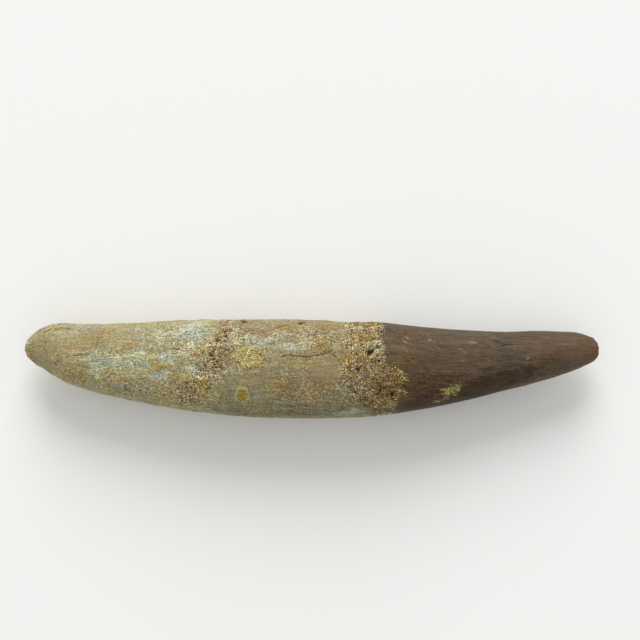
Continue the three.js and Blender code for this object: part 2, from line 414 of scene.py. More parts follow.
        (-13.2, -3.7, 5.5, 3.2, 0, 0.7), (2.5, -0.3, 2.5, 1.9, 0, 1.1), (9.7, -7.5, 2.6, 1.4, 0, 0.9),
        (-7.5, 3.5, 4.5, 1.8, 0, 0.5), (-3.1, 0.7, 2.1, 1.5, 0, 0.6), (-51.0, 3.0, 3.2, 3.5, 0, 0.9),
        (-45.0, 5.0, 5.0, 2.2, 0, 0.6), (-38.0, 6.0, 6.5, 2.2, 0, 0.6), (49.0, 3.2, 6.0, 4.0, -5, 0.6),
    ],
    "scratch": [
        (18.3, 5.0, 1.5, 0.13, -14, 1.0), (21.9, 6.2, 0.35, 0.2, 0, 1.0), (22.2, 4.9, 0.35, 0.16, 0, 1.0),
        (23.8, 4.4, 0.4, 0.14, 0, 0.9), (28.0, 3.5, 1.0, 0.14, -8, 1.0), (27.8, 2.0, 1.2, 0.12, -3, 0.8),
        (30.9, 4.6, 1.1, 0.14, -8, 1.0), (41.5, 2.2, 0.25, 0.2, 0, 1.0), (19.5, 1.3, 0.5, 0.13, -20, 0.7),
        (33.5, 5.8, 1.3, 0.13, -6, 0.7), (17.5, 6.0, 0.7, 0.12, -20, 0.8), (24.2, 3.9, 1.0, 0.12, -10, 0.8),
        (18.0, 3.9, 0.5, 0.12, -40, 0.7),
    ],
}

# The two bands of sandstone, on the upper side and underneath: how much each covers, then points along it
# with the half width there, from the hollow edge down.
crustBands = {
    "upper": [
        (0.68, [
            (-16.5, 9.8, 1.3), (-16.7, 6.9, 1.5), (-17.9, 4.3, 1.5), (-18.2, 2.2, 2.2), (-19.1, -0.6, 2.8),
            (-21.2, -2.9, 2.6), (-23.5, -5.2, 2.4),
        ]),
        (1.0, [
            (9.7, 9.2, 3.6), (9.9, 5.2, 3.5), (9.9, 2.2, 4.2), (9.6, -0.6, 4.0), (11.9, -3.0, 5.3),
            (11.9, -4.3, 5.1), (13.2, -6.3, 2.9),
        ]),
    ],
    "under": [
        (0.7, [
            (-16.5, 9.8, 2.4), (-17.5, 4.0, 2.0), (-17.0, -2.0, 2.4), (-21.0, -6.0, 1.8),
            (-23.5, -8.5, 2.0),
        ]),
        (1.0, [(9.7, 9.2, 3.6), (11.5, 4.0, 3.0), (10.5, -1.0, 4.2), (12.5, -5.0, 3.4), (13.2, -9.0, 2.6)]),
    ],
}

# Pits: x, y, radius and depth. More lie anywhere on the sandstone.
pits = [
    (-19.1, 2.5, 0.32, 0.5), (-18.5, 3.0, 0.22, 0.4), (-18.8, 1.8, 0.28, 0.4), (-18.1, 1.5, 0.28, 0.4),
    (-16.5, 7.2, 0.35, 0.4), (-17.2, 7.2, 0.25, 0.3), (-15.4, 7.2, 0.25, 0.3), (-16.4, 6.2, 0.4, 0.5),
    (-18.0, 5.4, 0.35, 0.5), (-12.8, 8.9, 0.3, 0.35), (-9.8, 2.6, 0.25, 0.5), (-23.0, 5.6, 0.25, 0.3),
    (-26.7, -4.4, 0.3, 0.3), (10.9, 3.1, 0.48, 0.8), (11.6, 3.6, 0.3, 0.6), (12.4, 4.0, 0.28, 0.5),
    (10.7, 2.5, 0.25, 0.5), (8.6, -0.2, 0.35, 0.4), (8.2, -4.5, 0.3, 0.4), (15.0, -4.8, 0.42, 0.6),
    (14.4, -5.0, 0.3, 0.4), (10.2, -3.2, 0.3, 0.3), (12.8, -4.2, 0.35, 0.4), (12.7, 1.6, 0.35, 0.4),
    (15.5, -6.0, 0.35, 0.4), (-2.3, 8.6, 0.38, 0.4), (-48.9, 1.1, 0.4, 0.2), (-47.9, 1.4, 0.3, 0.2),
    (-35.4, -3.6, 0.3, 0.2), (-34.7, -2.9, 0.25, 0.15),
]

pitForm = {
    "scattered": 110,
    "radius": (0.13, 0.26),
    "depth": (0.15, 0.4),
    "reach": 2.5,  # radii
    # Pits are painted darker the deeper they are: partly their own dark colour, partly painted shade.
    "darkness": 2.2,  # for each millimetre of depth
}

# Cracks: half width, depth, darkness, then the points along each.
cracks = [
    (0.07, 0.06, 0.45, [(-39.6, 6.9), (-40.4, 5.3), (-41.1, 3.9)]),
    (0.08, 0.12, 0.8, [(-40.8, 4.4), (-41.1, 3.9), (-41.7, 3.1), (-42.8, 2.6)]),
    (0.10, 0.12, 0.9, [(-42.4, 2.7), (-43.4, 2.5), (-44.4, 2.6), (-45.2, 2.4)]),
    (0.07, 0.06, 0.5, [(-44.9, 2.5), (-46.6, 2.2)]),
    (0.12, 0.14, 1.1, [(-6.0, 2.3), (-4.6, 2.6), (-1.2, 2.25), (1.0, 2.6), (3.2, 2.95), (5.0, 2.1)]),
    (0.07, 0.08, 0.6, [(-51.0, 7.1), (-49.2, 7.7), (-47.3, 7.9), (-44.8, 7.6)]),
    (0.11, 0.08, 1.1, [(34.0, 5.2), (35.9, 5.1)]),
    (0.12, 0.10, 1.1, [(35.4, 4.3), (36.9, 4.5), (38.4, 4.6)]),
    (0.08, 0.08, 0.6, [(-13.3, 7.1), (-11.7, 7.4), (-10.4, 7.1), (-8.3, 6.5), (-6.1, 7.2)]),
    (0.08, 0.08, 0.6, [(-4.9, -8.0), (-2.8, -7.8), (4.5, -7.9)]),
    (0.07, 0.05, 0.5, [(-1.2, 2.2), (-1.5, 0.4)]),
    (0.06, 0.04, 0.5, [(29.8, 4.6), (31.5, 4.7), (33.2, 4.5)]),
    (0.06, 0.04, 0.5, [(-52.2, 4.4), (-50.5, 3.4), (-49.8, 1.2)]),
    (0.08, 0.08, 0.8, [(-7.3, 7.7), (-6.0, 8.0), (-4.7, 8.3)]),
]

crackForm = {
    "wander": 0.18,  # how far each strays from its points
    "wanderSize": 0.8,
    "near": (0.4, 0.6),  # millimetres, past which nothing darkens
    "fade": 0.3,  # its ends fade over this share of a stretch
    "groove": (0.05, 0.3),
    "farAway": 9.0,  # half widths, where no crack is near
}

yellowSpot = {
    "at": (-13.07, -4.9),
    "half": (1.25, 1.35),
    "ragged": 0.14,
    "raised": 0.10,
    "rimSunk": 0.06,
}

# Where the crown and the root's darker middle begin, in millimetres, and over how much either side.
toothStarts = {"crown": (12.6, 0.7), "middle": (-16.5, 2.0)}

# The crown's two break faces and its worn corner: a point on each in millimetres, the way it faces, and how
# dark it is.
tipBreaks = [
    ((54.3, 4.0, 6.9), (1.0, 0.12, 0.1), 1.0),
    ((54.1, 2.5, 6.9), (0.9, -0.42, -0.1), 1.0),
    ((53.95, 5.05, 6.9), (0.8, 0.6, 0.1), 0.0),
]


# Smooth noise over points in millimetres, from about -0.7 to 0.7, drawn out along the tooth.
def noiseOver(points, size, seed, along=1.0):
    sizes = np.array([size * along, size, size])
    scaled = points / sizes + seed * 13.7
    return np.array([noise.noise(p) for p in scaled.tolist()])


# The same for each of two or three directions, to make places waver.
def waverOver(points, size, seeds, along=1.0):
    return np.stack([noiseOver(points, size, seed, along) for seed in seeds], 1)


def rowsOf(collection, key, count):
    flat = np.zeros(count * 3, np.float32)
    collection.foreach_get(key, flat)
    return flat.reshape(-1, 3).astype(float)


# The skin's points and normals, how far noise wavers each place for irregular edges, and where each point
# shows from the camera, measured at the tooth's middle height.
def readSkin(tooth):
    mesh = tooth.data
    count = len(mesh.vertices)
    at = rowsOf(mesh.vertices, "co", count) / mm
    facing = rowsOf(mesh.vertex_normals, "vector", count)
    broad = waverOver(at, 2.6, (1, 2, 3), 1.5)
    narrow = waverOver(at, 0.9, (4, 5, 6), 1.5)
    camera = np.array(studio["cameraAt"]) / mm
    nearness = (camera[2] - toothForm["middleHeight"] / mm) / (camera[2] - at[:, 2:])
    seen = camera[:2] + (at[:, :2] - camera[:2]) * nearness
    return {"at": at, "facing": facing, "waver": broad + narrow * 0.45, "seen": seen}


patchDepth = 3.0  # millimetres, so that a patch doesn't show on the other side
patchEdge = (0.4, 1.5)


# How much of a patch is at each point: 1 in the middle, 0 past its edge.
def patchOver(skin, centre, halfLength, halfWidth, turn):
    facing = skin["facing"][centre]
    alongSkin = np.array([1.0, 0, 0]) - facing * facing[0]
    alongSkin /= np.linalg.norm(alongSkin)
    acrossSkin = np.cross(facing, alongSkin)
    turn = math.radians(turn)
    long = alongSkin * math.cos(turn) + acrossSkin * math.sin(turn)
    wide = acrossSkin * math.cos(turn) - alongSkin * math.sin(turn)
    apart = skin["at"] + skin["waver"] - skin["at"][centre]
    reach = (apart @ long / halfLength) ** 2 + (apart @ wide / halfWidth) ** 2
    reach += (apart @ facing / patchDepth) ** 2
    return 1 - ease(np.sqrt(reach), *patchEdge)


def nearestOnTop(skin, x, y):
    apart = np.linalg.norm(skin["seen"] - (x, y), axis=1)
    return int(np.argmin(np.where(skin["facing"][:, 2] > 0, apart, np.inf)))


# Points in order of place, so that a seeded pick doesn't hang on how the mesh is numbered.
def sortedByPlace(points, chosen):
    return chosen[np.lexsort(np.round(points[chosen], 3).T)]


def layOver(under, over):
    return 1 - (1 - under) * (1 - np.clip(over, 0, 1))


# The hidden side has stains of the same kinds between these x: how many, half length, half width and
# strength.
hiddenBetween = {"root": (-60, 6), "crown": (18, 50)}
hiddenStains = {
    "root": {
        "bleach": (12, (0.8, 3.4), (0.5, 1.4), (0.6, 1.0)),
        "cream": (10, (1.2, 3.6), (0.6, 1.6), (0.4, 0.8)),
        "rust": (16, (0.8, 3.0), (0.3, 1.0), (0.5, 0.9)),
        "ochre": (6, (1.0, 2.8), (0.6, 1.4), (0.5, 0.9)),
        "umber": (6, (0.5, 1.6), (0.15, 0.5), (0.5, 0.8)),
        "olive": (6, (2.0, 6.0), (1.0, 2.6), (0.4, 0.8)),
        "grit": (9, (2.0, 5.5), (1.2, 2.4), (0.6, 1.0)),
        "worn": (6, (2.0, 5.0), (1.4, 2.8), (0.6, 1.0)),
    },
    "crown": {
        "violet": (4, (2.0, 5.0), (1.0, 2.0), (0.4, 0.7)),
        "olive": (4, (2.0, 6.0), (0.6, 1.4), (0.4, 0.8)),
        "film": (3, (1.0, 2.4), (0.7, 1.2), (0.7, 1.0)),
        "scratch": (9, (0.4, 1.6), (0.18, 0.24), (0.5, 0.9)),
    },
}


def hiddenPatches(skin, chance):
    at, facing = skin["at"], skin["facing"]
    facesDown = facing[:, 2] < 0.15
    for part, kinds in hiddenStains.items():
        start, end = hiddenBetween[part]
        ground = facesDown & (at[:, 0] > start) & (at[:, 0] < end)
        places = sortedByPlace(at, np.flatnonzero(ground))
        for kind, (count, lengths, widths, strengths) in kinds.items():
            for _ in range(count):
                centre = int(chance.choice(places))
                spans = lengths, widths, (-14, 14), strengths
                yield kind, centre, [chance.uniform(*span) for span in spans]


# The masks of the stains and of the shade painted along the lower side.
def stainAndShadeFields(skin):
    fields = {kind: np.zeros(len(skin["at"])) for kind in stainsAndShade}
    for kind, patches in stainsAndShade.items():
        for x, y, halfLength, halfWidth, turn, strength in patches:
            centre = nearestOnTop(skin, x, y)
            foreshortened = max(0.4, skin["facing"][centre][2])
            patch = patchOver(skin, centre, halfLength, halfWidth / foreshortened, turn)
            fields[kind] = layOver(fields[kind], patch * strength)
    chance = np.random.default_rng(11)
    for kind, centre, (halfLength, halfWidth, turn, strength) in hiddenPatches(skin, chance):
        patch = patchOver(skin, centre, halfLength, halfWidth, turn)
        fields[kind] = layOver(fields[kind], patch * strength)
    return fields


# Distance in plan from each point to a run of points, less than 0 on its right, and how far along it
# that is.
def distanceToRun(places, run):
    best = np.full(len(places), np.inf)
    share = np.zeros(len(places))
    for i, (start, end) in enumerate(zip(run, run[1:])):
        start, end = np.array(start[:2]), np.array(end[:2])
        stretch = end - start
        t = np.clip((places - start) @ stretch / (stretch @ stretch), 0, 1)
        off = places - start - t[:, None] * stretch
        apart = np.linalg.norm(off, axis=1) * np.where(off @ (-stretch[1], stretch[0]) < 0, -1, 1)
        nearer = np.abs(apart) < np.abs(best)
        best[nearer] = apart[nearer]
        share[nearer] = (i + t)[nearer]
    return best, share


def crustField(skin):
    places = skin["seen"] + skin["waver"][:, :2]
    sides = {}
    for side, bands in crustBands.items():
        cover = np.zeros(len(places))
        for strength, band in bands:
            apart, share = distanceToRun(places, band)
            halfWidth = np.interp(share, range(len(band)), [point[2] for point in band])
            cover = np.maximum(cover, strength * (1 - ease(np.abs(apart) / halfWidth, 0.45, 1.4)))
        sides[side] = cover
    above = ease(skin["facing"][:, 2], -0.25, 0.15)
    return sides["upper"] * above + sides["under"] * (1 - above)


# For each point, the signed distance to the nearest crack's middle in its half widths, how dark it is there
# and how deep.
def crackFields(skin):
    form = crackForm
    places = skin["seen"] + form["wander"] * waverOver(skin["at"], form["wanderSize"], (7, 8))
    onTop = ease(skin["facing"][:, 2], 0.0, 0.2)
    side = np.full(len(places), form["farAway"])
    near, deep = np.zeros(len(places)), np.zeros(len(places))
    for halfWidth, depth, darkness, run in cracks:
        apart, share = distanceToRun(places, run)
        fromEnd = np.minimum(share, len(run) - 1 - share)
        closeBy = (1 - ease(np.abs(apart), *form["near"])) * ease(fromEnd, 0.0, form["fade"]) * onTop
        nearer = np.abs(apart / halfWidth) < np.abs(side)
        side[nearer] = (apart / halfWidth)[nearer]
        near = np.maximum(near, closeBy * darkness)
        deep = np.maximum(deep, closeBy * (1 - ease(np.abs(apart), *form["groove"])) * depth)
    return side, near, deep


def pitFields(skin, crust, chance):
    dark, deep = np.zeros(len(skin["at"])), np.zeros(len(skin["at"]))
    pitted = sortedByPlace(skin["at"], np.flatnonzero(crust > 0.5))
    form = pitForm
    found = [(nearestOnTop(skin, x, y), radius, depth) for x, y, radius, depth in pits]
    for _ in range(form["scattered"]):
        centre = int(chance.choice(pitted))
        found.append((centre, chance.uniform(*form["radius"]), chance.uniform(*form["depth"])))
    for centre, radius, depth in found:
        apart = np.linalg.norm(skin["at"] - skin["at"][centre], axis=1) / radius
        near = apart < form["reach"]
        hole = np.exp(-(apart[near] ** 2))
        dark[near] = np.maximum(dark[near], hole * min(1.0, depth * form["darkness"]))
        deep[near] = np.maximum(deep[near], hole * depth)
    return dark, deep


def spotField(skin):
    ragged = yellowSpot["ragged"] * waverOver(skin["at"], 0.6, (9, 10))
    apart = skin["seen"] + 0.3 * skin["waver"][:, :2] + ragged - yellowSpot["at"]
    onTop = skin["facing"][:, 2] > 0
    return np.clip(1.5 - np.linalg.norm(apart / np.array(yellowSpot["half"]), axis=1), 0, 1) * onTop


# The relief in layers of noise: size in millimetres, seed, how far each is drawn out along the tooth, and
# its height in millimetres.
reliefLayers = {
    "striae": [(0.9, 21, 16.0, 0.07), (0.5, 22, 10.0, 0.035)],
    "fibres": [(0.9, 24, 5.0, 0.10), (0.55, 25, 2.5, 0.08)],
    "blotches": [(1.8, 26, 1.6, 0.11)],
    "gravel": [(0.75, 28, 1.0, 0.16), (0.45, 29, 1.0, 0.16)],
    "sand": [(0.5, 30, 1.0, 0.14)],
    "waves": [(9.0, 31, 1.5, 0.22), (4.0, 32, 1.5, 0.10)],
    "break": [(0.8, 41, 1.0, 0.12), (0.35, 42, 1.0, 0.05)],
}

# The relief's other heights in millimetres.
reliefHeights = {
    "growthLines": 0.02,
    "lumps": 0.36,
    "lumpsRaised": 0.02,
    "bleachSunk": 0.04,
    "ochreRaised": 0.08,
    "tipFuller": 0.16,
    "rootEndLower": 0.1,
    "topLower": 0.14,
    "breakLower": 0.05,
}


def layersOver(at, name):
    layers = reliefLayers[name]
    return sum(noiseOver(at, size, seed, along) * height for size, seed, along, height in layers)


# Height in millimetres that the crown, the root and the sandstone add to the smooth form.
def reliefOver(skin, fields):
    at = skin["at"]
    crown, crust, worn = fields["crown"], fields["crust"], fields["worn"]
    heights = reliefHeights
    growthLines = noiseOver(at * np.array([1, 0.15, 0.15]), 0.9, 23) * heights["growthLines"]
    lumps = heights["lumpsRaised"] - np.abs(noiseOver(at, 1.5, 27)) * heights["lumps"]
    rough = 1 - 0.75 * worn
    weathered = (1 - crown) * rough * (layersOver(at, "fibres") + layersOver(at, "blotches"))
    weathered += fields["grit"] * layersOver(at, "sand") * (1 - crown * 0.5)
    fine = crown * (layersOver(at, "striae") + growthLines) + weathered
    fine = fine * (1 - crust) + crust * (lumps + layersOver(at, "gravel"))
    fine -= heights["bleachSunk"] * ease(fields["bleach"], 0.35, 0.6) * (1 - crust)
    fine += heights["ochreRaised"] * ease(fields["ochre"], 0.4, 0.6) * (1 - crust)
    fine -= fields["pitDepth"] + fields["crackDepth"]
    spot = fields["spot"]
    fine += yellowSpot["raised"] * ease(spot, 0.5, 0.75) - yellowSpot["rimSunk"] * ease(spot, 0.25, 0.45)
    # The tip is a little fuller, and the root's end and the top a little lower, than the smooth form.
    fuller = heights["tipFuller"] * ease(at[:, 0], 47.0, 51.5)
    fuller -= heights["rootEndLower"] * (1 - ease(at[:, 0], -54.4, -53.0))
    fuller -= heights["topLower"] * ease(at[:, 2], 14.8, 15.5)
    return fine, layersOver(at, "waves") + fuller


# Nothing stands past the break faces, the bed or the node's box.
def trimTooth(at):
    broken = np.zeros(len(at))
    ragged = layersOver(at, "break")
    for point, facing, darkness in tipBreaks:
        facing = np.array(facing) / np.linalg.norm(facing)
        past = (at - np.array(point)) @ facing + ragged + reliefHeights["breakLower"]
        at = at - np.maximum(past, 0)[:, None] * facing
        broken = np.maximum(broken, darkness * ease(past, -0.12, 0.08))
    low, high = (np.array(corner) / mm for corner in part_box("tooth"))
    return np.clip(at, low, high), broken


def paint(mesh, name, values):
    layer = mesh.attributes.new(name, "FLOAT", "POINT")
    layer.data.foreach_set("value", values.astype(np.float32))


def weatherTooth(tooth):
    skin = readSkin(tooth)
    at = skin["at"]
    fields = stainAndShadeFields(skin)
    fields["crust"] = crustField(skin)
    middleStart, over = toothStarts["middle"]
    fields["middle"] = ease(at[:, 0] + noiseOver(at, 3.0, 45) * 3, middleStart - over, middleStart + over)
    crownStart, over = toothStarts["crown"]
    edge = crownStart + noiseOver(at, 2.0, 43) * 1.6 + noiseOver(at, 0.8, 44) * 0.8
    fields["crown"] = ease(at[:, 0] - edge, -over, over)
    fields["crackSide"], fields["crack"], fields["crackDepth"] = crackFields(skin)
    fields["pit"], fields["pitDepth"] = pitFields(skin, fields["crust"], np.random.default_rng(12))
    fields["spot"] = spotField(skin)
    fine, waves = reliefOver(skin, fields)
    moved = at + skin["facing"] * (fine + waves)[:, None]
    moved, fields["broken"] = trimTooth(moved)
    # The relief for the finish, which darkens the hollows with it as painted shade.
    fields["relief"] = np.clip(0.5 + fine * 1.6, 0, 1)
    mesh = tooth.data
    mesh.vertices.foreach_set("co", (moved * mm).ravel())
    for name in ("crackDepth", "pitDepth"):
        fields.pop(name)
    for name, values in fields.items():
        paint(mesh, name, values)
    mesh.update()
    return fields


# The finish's nodes: each helper adds one or a few and hands back the output.

def plug(tree, socket, value):
    if isinstance(value, bpy.types.NodeSocket):
        tree.links.new(value, socket)
    else:
        socket.default_value = value


def blend(tree, share, under, over, how="MIX"):
    mix = tree.nodes.new("ShaderNodeMix")
    mix.data_type = "RGBA"
    mix.blend_type = how
    plug(tree, mix.inputs[0], share)
    plug(tree, mix.inputs[6], under)
    plug(tree, mix.inputs[7], over)
    return mix.outputs[2]


def work(tree, how, first, second=0.0, third=0.0):
    node = tree.nodes.new("ShaderNodeMath")
    node.operation = how
    for socket, value in zip(node.inputs, (first, second, third)):
        plug(tree, socket, value)
    return node.outputs[0]


def times(tree, *values):
    product = values[0]
    for value in values[1:]:
        product = work(tree, "MULTIPLY", product, value)
    return product


# The sum of values, each with its weight.
def weighed(tree, *pairs):
    total = 0.0
    for value, weight in pairs:
        total = work(tree, "MULTIPLY_ADD", value, weight, total)
    return total


def spread(tree, value, low, high, start=0.0, end=1.0):
    node = tree.nodes.new("ShaderNodeMapRange")
    node.interpolation_type = "SMOOTHSTEP"
    for socket, number in zip(node.inputs, (value, low, high, start, end)):
        plug(tree, socket, number)
    return node.outputs[0]


# Places on the piece in millimetres, drawn out along it.
def objectPlaces(tree, along=1.0, shift=0.0):
    where = tree.nodes.new("ShaderNodeTexCoord")
    mapping = tree.nodes.new("ShaderNodeMapping")
    mapping.inputs["Scale"].default_value = (1 / mm / along, 1 / mm, 1 / mm)
    mapping.inputs["Location"].default_value = (shift, shift, shift)
    tree.links.new(where.outputs["Object"], mapping.inputs["Vector"])
    return mapping.outputs["Vector"]


def clouds(tree, where, size, detail=4.0, roughness=0.6, curled=0.0):
    node = tree.nodes.new("ShaderNodeTexNoise")
    plug(tree, node.inputs["Vector"], where)
    node.inputs["Scale"].default_value = 1 / size
    node.inputs["Detail"].default_value = detail
    node.inputs["Roughness"].default_value = roughness
    node.inputs["Distortion"].default_value = curled
    return spread(tree, node.outputs["Fac"], 0.28, 0.72)


# Grains of a size: three random numbers for each grain, and the distance from its middle.
def grains(tree, where, size):
    node = tree.nodes.new("ShaderNodeTexVoronoi")
    plug(tree, node.inputs["Vector"], where)
    node.inputs["Scale"].default_value = 1 / size
    split = tree.nodes.new("ShaderNodeSeparateColor")
    tree.links.new(node.outputs["Color"], split.inputs["Color"])
    return [split.outputs["Red"], split.outputs["Green"], split.outputs["Blue"], node.outputs["Distance"]]


def painted(tree, name):
    node = tree.nodes.new("ShaderNodeAttribute")
    node.attribute_name = name
    return node.outputs["Fac"]


# How much of a stain shows: the more its mask covers, the more of the tone it takes.
def covered(tree, mask, tone, soft):
    needed = work(tree, "SUBTRACT", 1.0, tone)
    share = spread(tree, work(tree, "SUBTRACT", mask, needed), -soft, soft)
    return times(tree, share, spread(tree, mask, 0.0, 0.15))


# What being cooler, and being warmer, does to red, green and blue.
coolTurn = (-0.29, 0.0, 0.71)
warmTurn = (0.18, 0.0, -0.82)


# A colour made lighter or darker, and warmer or cooler, by numbers that are 0.5 on average. What is lighter
# is cooler too, by so much.
def varied(tree, colour, light, lightBy, warm, warmBy, cooler=0.42):
    lighter = times(tree, work(tree, "SUBTRACT", light, 0.5), lightBy)
    warmer = times(tree, work(tree, "SUBTRACT", warm, 0.5), warmBy)
    change = tree.nodes.new("ShaderNodeCombineXYZ")
    for socket, byCool, byWarm in zip(change.inputs, coolTurn, warmTurn):
        byLight = weighed(tree, (1.0, 1.0), (byCool, cooler))
        power = weighed(tree, (lighter, byLight), (warmer, byWarm))
        plug(tree, socket, work(tree, "POWER", math.e, power))
    changed = tree.nodes.new("ShaderNodeVectorMath")
    changed.operation = "MULTIPLY"
    plug(tree, changed.inputs[0], colour)
    plug(tree, changed.inputs[1], change.outputs[0])
    return changed.outputs[0]


def newFinish(name, shine):
    material = bpy.data.materials.new(name)
    material.use_nodes = True
    shader = material.node_tree.nodes["Principled BSDF"]
    shader.inputs["Specular IOR Level"].default_value = shine
    return material, material.node_tree, shader


# Fine relief, its height in millimetres.
def emboss(tree, shader, height):
    bump = tree.nodes.new("ShaderNodeBump")
    bump.inputs["Distance"].default_value = mm
    plug(tree, bump.inputs["Height"], height)
    tree.links.new(bump.outputs["Normal"], shader.inputs["Normal"])


# What each stain, and the shade painted along the lower side, multiplies red, green and blue by, on the
# root and on the crown.
stainAndShadeTints = {
    "olive": ((0.86, 0.88, 0.88), (0.92, 1.05, 1.18)),
    "violet": ((0.86, 0.78, 0.84), (1.28, 1.17, 1.22)),
    "cream": ((1.24, 1.30, 1.40), (1.24, 1.30, 1.40)),
    "rust": ((0.95, 0.80, 0.56), (0.92, 0.80, 0.62)),
    "ochre": ((1.16, 1.18, 0.98), (1.20, 1.20, 0.90)),
    "bleach": ((1.14, 1.34, 1.66), (1.00, 1.15, 1.40)),
    "umber": ((0.42, 0.34, 0.26), (0.50, 0.43, 0.33)),
    # The lower edge's painted shade, with some grey-green tone of its own.
    "greyEdgeAndShade": ((0.72, 0.79, 0.92), (0.76, 0.80, 0.76)),
    "scratch": ((1.30, 1.30, 1.35), (2.3, 2.5, 2.6)),
}

toothFinish = {
    "root": "a1966f",
    "crown": "564532",
    # The sandstone's tint: its own browner colour, darkened as painted shade in the gaps between the sand
    # grains.
    "crust": (0.82, 0.67, 0.49),
    "film": "806f3f",
    "middle": (0.83, 0.79, 0.78),  # what the root's middle multiplies by
    "spotYellow": "957d34",
    "spotRim": "b8ac7a",
    "breakBrown": "402c22",
    "pitDark": "1c120a",
    "crackBrown": "68471d",
    "crackDark": "251b14",
    "rootRoughness": 0.85,
    "crownRoughness": 0.6,
    "shine": 0.22,
    "embossed": {"striped": 0.03, "mottled": 0.05, "fine": -0.06, "coarse": -0.12},  # millimetres
}


# Grains in the finish: how far they are drawn out along the tooth, where they start, and their size in
# millimetres.
grainPatterns = {"fine": (1.3, 0.3, 0.17), "coarse": (1.1, 2.9, 0.38)}

# Clouds in the finish: how many, the step from one to the next, how far they are drawn out and where the
# first starts, then their size in millimetres, detail, roughness and curl.
cloudPatterns = {
    "mottled": (3, 5, 5.0, 1.7, 0.65, 4.0, 0.65, 0.5),
    "broad": (2, 7, 2.2, 3.1, 2.6, 3.0, 0.6, 0.0),
    "striped": (2, 4, 14.0, 2.3, 0.30, 4.0, 0.65, 0.0),
    "streaked": (2, 4, 9.0, 8.7, 1.1, 3.0, 0.6, 0.0),
}


def patternOf(tree, name):
    if name in grainPatterns:
        along, start, size = grainPatterns[name]
        return grains(tree, objectPlaces(tree, along, start), size)
    count, step, along, start, *look = cloudPatterns[name]
    return [clouds(tree, objectPlaces(tree, along, start + step * i), *look) for i in range(count)]


# The numbers from 0 to 1 that change from patch to patch, and which of them each stain follows.
def patchNumbers(tree):
    coarse, mottled, broad = (patternOf(tree, name) for name in ("coarse", "mottled", "broad"))
    both = [weighed(tree, (coarse[i], 0.3), (mottled[i], 0.7)) for i in range(3)]
    following = {
        "olive": broad[0], "violet": mottled[2], "cream": both[1], "rust": both[0],
        "ochre": both[1], "bleach": both[2], "umber": both[0], "greyEdgeAndShade": broad[0], "scratch": both[2],
    }
    return coarse, mottled, broad, following


# The stains, and the shade painted along the lower side, laid over the colour.
def stainedAndShaded(tree, colour, bare, following):
    for kind, number in following.items():
        onRootTint, onCrownTint = stainAndShadeTints[kind]
        over = blend(tree, bare, (*onRootTint, 1.0), (*onCrownTint, 1.0))
        share = covered(tree, painted(tree, kind), number, 0.4)
        colour = blend(tree, share, colour, over, "MULTIPLY")
    return colour


# How much each pattern lightens what it lies on, and how much it warms it. The root is marbled, the crown
# striped along, and the sand speckled most of all.
toothVariety = {
    "broad": ({"root": 0.22, "crown": 0.16}, {"root": 0.42, "crown": 0.16}),
    "mottled": ({"root": 0.14, "sand": 0.4, "worn": -0.1}, {"root": 0.34, "sand": 0.2, "worn": -0.15}),
    "striped": ({"crown": 0.68, "root": 0.22, "wornCrown": -0.35}, {"all": 0.1, "crown": 0.12}),
    "streaked": ({"crown": 0.32}, {"crown": 0.1}),
    "fine": (
        {"root": 1.15, "crown": 0.3, "grit": 0.8, "gritty": 1.6, "worn": -0.65},
        {"root": 0.12, "crown": 0.22, "grit": 0.12, "gritty": 0.35},
    ),
}
coarseVariety = (0.15, 0.5)  # of what the fine pattern does
coolerLight = {"root": 0.36, "crown": 0.1, "gritty": 0.2}  # how much what is lighter is cooler


# Where the root, the bare crown, the sandstone and the film show, and the marks that change them.
def toothMasks(tree, following):
    on = {name: painted(tree, name) for name in ("worn", "grit", "middle")}
    on["all"] = 1.0
    on["sand"] = covered(tree, painted(tree, "crust"), following["rust"], 0.22)
    on["film"] = covered(tree, painted(tree, "film"), following["cream"], 0.15)
    on["gritty"] = work(tree, "MAXIMUM", on["sand"], on["film"])
    uncovered = weighed(tree, (painted(tree, "crown"), 1.0), (on["sand"], -1.0))
    on["crown"] = work(tree, "MAXIMUM", 0.0, uncovered)
    on["root"] = work(tree, "SUBTRACT", 1.0, on["crown"])
    on["wornCrown"] = times(tree, on["crown"], on["worn"])
    return on


def weighedOn(tree, on, weights):
    return weighed(tree, *((on[name], weight) for name, weight in weights.items()))


def toothGround(tree, on, following):
    look = toothFinish
    colour = blend(tree, on["crown"], tint(look["root"]), tint(look["crown"]))
    onMiddle = times(tree, on["middle"], on["root"])
    colour = blend(tree, onMiddle, colour, (*look["middle"], 1.0), "MULTIPLY")
    colour = stainedAndShaded(tree, colour, on["crown"], following)
    # The sandstone: its own colour, and painted shade in the gaps between the grains.
    colour = blend(tree, on["sand"], colour, (*look["crust"], 1.0), "MULTIPLY")
    return blend(tree, times(tree, on["film"], on["crown"]), colour, tint(look["film"]))


def yellowSpotOver(tree, colour, patterns):
    fine, coarse, mottled = (patterns[name] for name in ("fine", "coarse", "mottled"))
    ragged = weighed(tree, (mottled[1], 0.16), (coarse[2], 0.22), (1.0, -0.19))
    spot = weighed(tree, (painted(tree, "spot"), 1.0), (ragged, 1.0))
    rim = times(tree, spread(tree, spot, 0.32, 0.44), spread(tree, mottled[1], 0.0, 0.4))
    colour = blend(tree, rim, colour, tint(toothFinish["spotRim"]))
    yellow = varied(tree, tint(toothFinish["spotYellow"])[:3], mottled[2], 0.8, fine[1], 0.3)
    yellow = varied(tree, yellow, coarse[0], 0.7, coarse[1], 0.4)
    return blend(tree, spread(tree, spot, 0.54, 0.66), colour, yellow)


